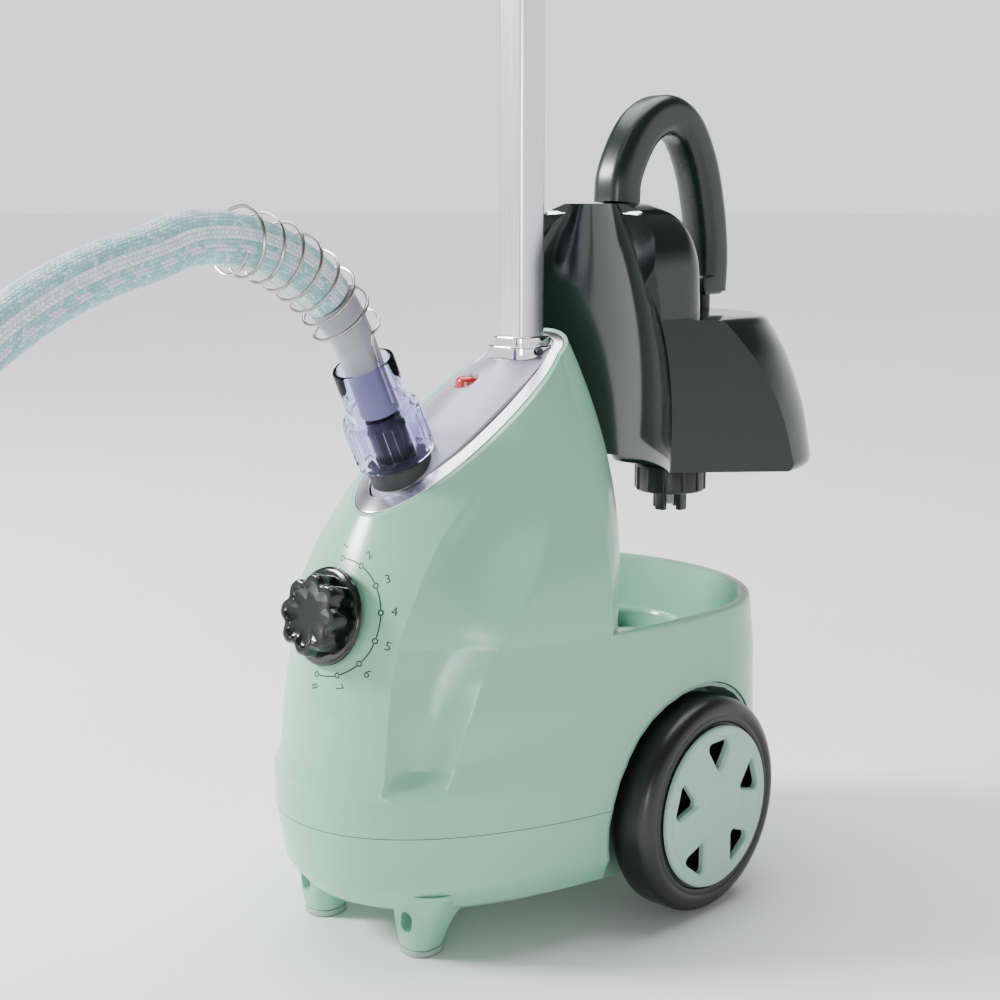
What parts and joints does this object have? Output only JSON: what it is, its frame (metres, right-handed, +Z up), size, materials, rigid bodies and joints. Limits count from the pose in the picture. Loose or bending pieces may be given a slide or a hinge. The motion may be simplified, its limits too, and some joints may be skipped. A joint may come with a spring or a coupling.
{
  "type": "garment steamer",
  "caption": "Upright garment steamer: wheeled mint base with control knob, lift-off smoked water tank, telescopic pole, clear hose nut, braided steam hose and hand-held steam head",
  "frame": {"origin": "bounding box centre in X and Y without the hose, on the floor in Z", "axes": "+Z up, -Y the front with the control knob, +X the side of the right-hand wheel as seen from the front camera"},
  "size_m": [0.4512, 0.9363, 0.926],
  "materials": {
    "mint_plastic": "gloss moulded mint",
    "dark_mint_plastic": "satin moulded green",
    "silver_plastic": "satin silver paint",
    "chrome_trim": "polished",
    "aluminium_tube": "brushed anodised",
    "black_plastic": "gloss black",
    "smoked_plastic": "gloss smoked dark green",
    "green_handle": "satin dark green",
    "clear_plastic": "clear violet-tinted plastic",
    "rubber": "matt",
    "tyre_rubber": "matt",
    "grey_plastic": "satin",
    "steel": "bright",
    "cast_block": "as cast",
    "red_lens": "gloss red",
    "hose_braid": "woven sleeve"
  },
  "bodies": {
    "root": {"anti_kink_spring": "steel", "axle": "steel", "axle_bracket_left": "black_plastic", "axle_bracket_right": "black_plastic", "axle_cap_left": "steel", "axle_cap_right": "steel", "base_screw_1": "steel", "base_screw_2": "steel", "base_screw_3": "steel", "base_screw_4": "steel", "base_shell": "mint_plastic", "boiler": "cast_block", "clamp_lower": "grey_plastic", "control_switch": "black_plastic", "cord_gland": "black_plastic", "foot_pad_left": "rubber", "foot_pad_right": "rubber", "hose_cuff": "grey_plastic", "hose_tube": "hose_braid", "indicator_lens": "red_lens", "main_housing": "mint_plastic", "outlet_gasket": "rubber", "panel_trim": "chrome_trim", "pole_lower": "aluminium_tube", "pole_socket": "chrome_trim", "socket_screw": "steel", "steam_outlet": "black_plastic", "steam_tube": "grey_plastic", "thermostat": "steel", "top_panel": "silver_plastic", "valve_seat": "grey_plastic", "water_tube": "grey_plastic", "wheel_arch_left": "dark_mint_plastic", "wheel_arch_right": "dark_mint_plastic"},
    "wheel_right": {"tyre_right": "tyre_rubber", "wheel_core_right": "black_plastic", "hub_cap_right": "mint_plastic"},
    "wheel_left": {"tyre_left": "tyre_rubber", "wheel_core_left": "black_plastic", "hub_cap_left": "mint_plastic"},
    "knob": {"control_knob": "black_plastic", "knob_shaft": "steel"},
    "nut": {"hose_nut": "clear_plastic"},
    "tank": {"tank_body": "smoked_plastic", "tank_handle": "green_handle"},
    "cap": {"tank_cap": "black_plastic", "valve_seal": "rubber"},
    "plunger": {"valve_plunger": "grey_plastic"},
    "pole_mid": {"pole_middle": "aluminium_tube", "clamp_upper": "grey_plastic"},
    "pole_top": {"pole_upper": "aluminium_tube", "head_holder": "grey_plastic"},
    "lever_low": {"clamp_lever_lower": "grey_plastic"},
    "lever_up": {"clamp_lever_upper": "grey_plastic"},
    "arm_right": {"hanger_arm_right": "grey_plastic"},
    "arm_left": {"hanger_arm_left": "grey_plastic"},
    "steam_head": {"head_shell": "mint_plastic", "head_plate": "aluminium_tube", "head_cuff": "rubber"},
    "trigger": {"steam_trigger": "grey_plastic"}
  },
  "joints": [
    {"name": "wheel_right_spin", "type": "hinge", "parent": "root", "child": "wheel_right", "pos_m": [0.106, 0.185, 0.06], "axis": [1, 0, 0], "continuous": true},
    {"name": "wheel_left_spin", "type": "hinge", "parent": "root", "child": "wheel_left", "pos_m": [-0.106, 0.185, 0.06], "axis": [1, 0, 0], "continuous": true},
    {"name": "knob_turn", "type": "hinge", "parent": "root", "child": "knob", "pos_m": [0, 0.0124, 0.178], "axis": [0, 0.9701, -0.2425], "range_deg": [0, 270]},
    {"name": "hose_nut_turn", "type": "hinge", "parent": "root", "child": "nut", "pos_m": [0, 0.0645, 0.248], "axis": [0, -0.42, 0.9075], "range_deg": [0, 90]},
    {"name": "tank_lift", "type": "slide", "parent": "root", "child": "tank", "axis": [0, 0.5322, 0.8466], "range_m": [-0.0827, 0.04]},
    {"name": "tank_cap_turn", "type": "hinge", "parent": "tank", "child": "cap", "pos_m": [0, 0.297, 0.217], "axis": [0, 0, 1], "range_deg": [0, 120]},
    {"name": "valve_press", "type": "slide", "parent": "cap", "child": "plunger", "axis": [0, 0, 1], "range_m": [0, 0.003], "stiffness_N_per_m": 150, "springref_m": -0.001},
    {"name": "pole_middle_slide", "type": "slide", "parent": "root", "child": "pole_mid", "axis": [0, 0, 1], "range_m": [0, 0.33]},
    {"name": "pole_upper_slide", "type": "slide", "parent": "pole_mid", "child": "pole_top", "axis": [0, 0, 1], "range_m": [0, 0.33]},
    {"name": "lower_clamp_lever", "type": "hinge", "parent": "root", "child": "lever_low", "pos_m": [0.0212, 0.158, 0.791], "axis": [0, -1, 0], "range_deg": [0, 110]},
    {"name": "upper_clamp_lever", "type": "hinge", "parent": "pole_mid", "child": "lever_up", "pos_m": [0.0212, 0.158, 0.843], "axis": [0, -1, 0], "range_deg": [0, 110]},
    {"name": "right_hanger_fold", "type": "hinge", "parent": "pole_top", "child": "arm_right", "pos_m": [0.023, 0.158, 0.886], "axis": [0, -1, 0], "range_deg": [0, 75]},
    {"name": "left_hanger_fold", "type": "hinge", "parent": "pole_top", "child": "arm_left", "pos_m": [-0.023, 0.158, 0.886], "axis": [0, 1, 0], "range_deg": [0, 75]},
    {"name": "head_pick_up", "type": "slide", "parent": "root", "child": "steam_head", "axis": [0, 0, 1], "range_m": [0, 0.06], "deforming": ["hose_tube"]},
    {"name": "trigger_press", "type": "slide", "parent": "steam_head", "child": "trigger", "axis": [0, 0, -1], "range_m": [0, 0.003], "stiffness_N_per_m": 300, "springref_m": -0.002}
  ]
}
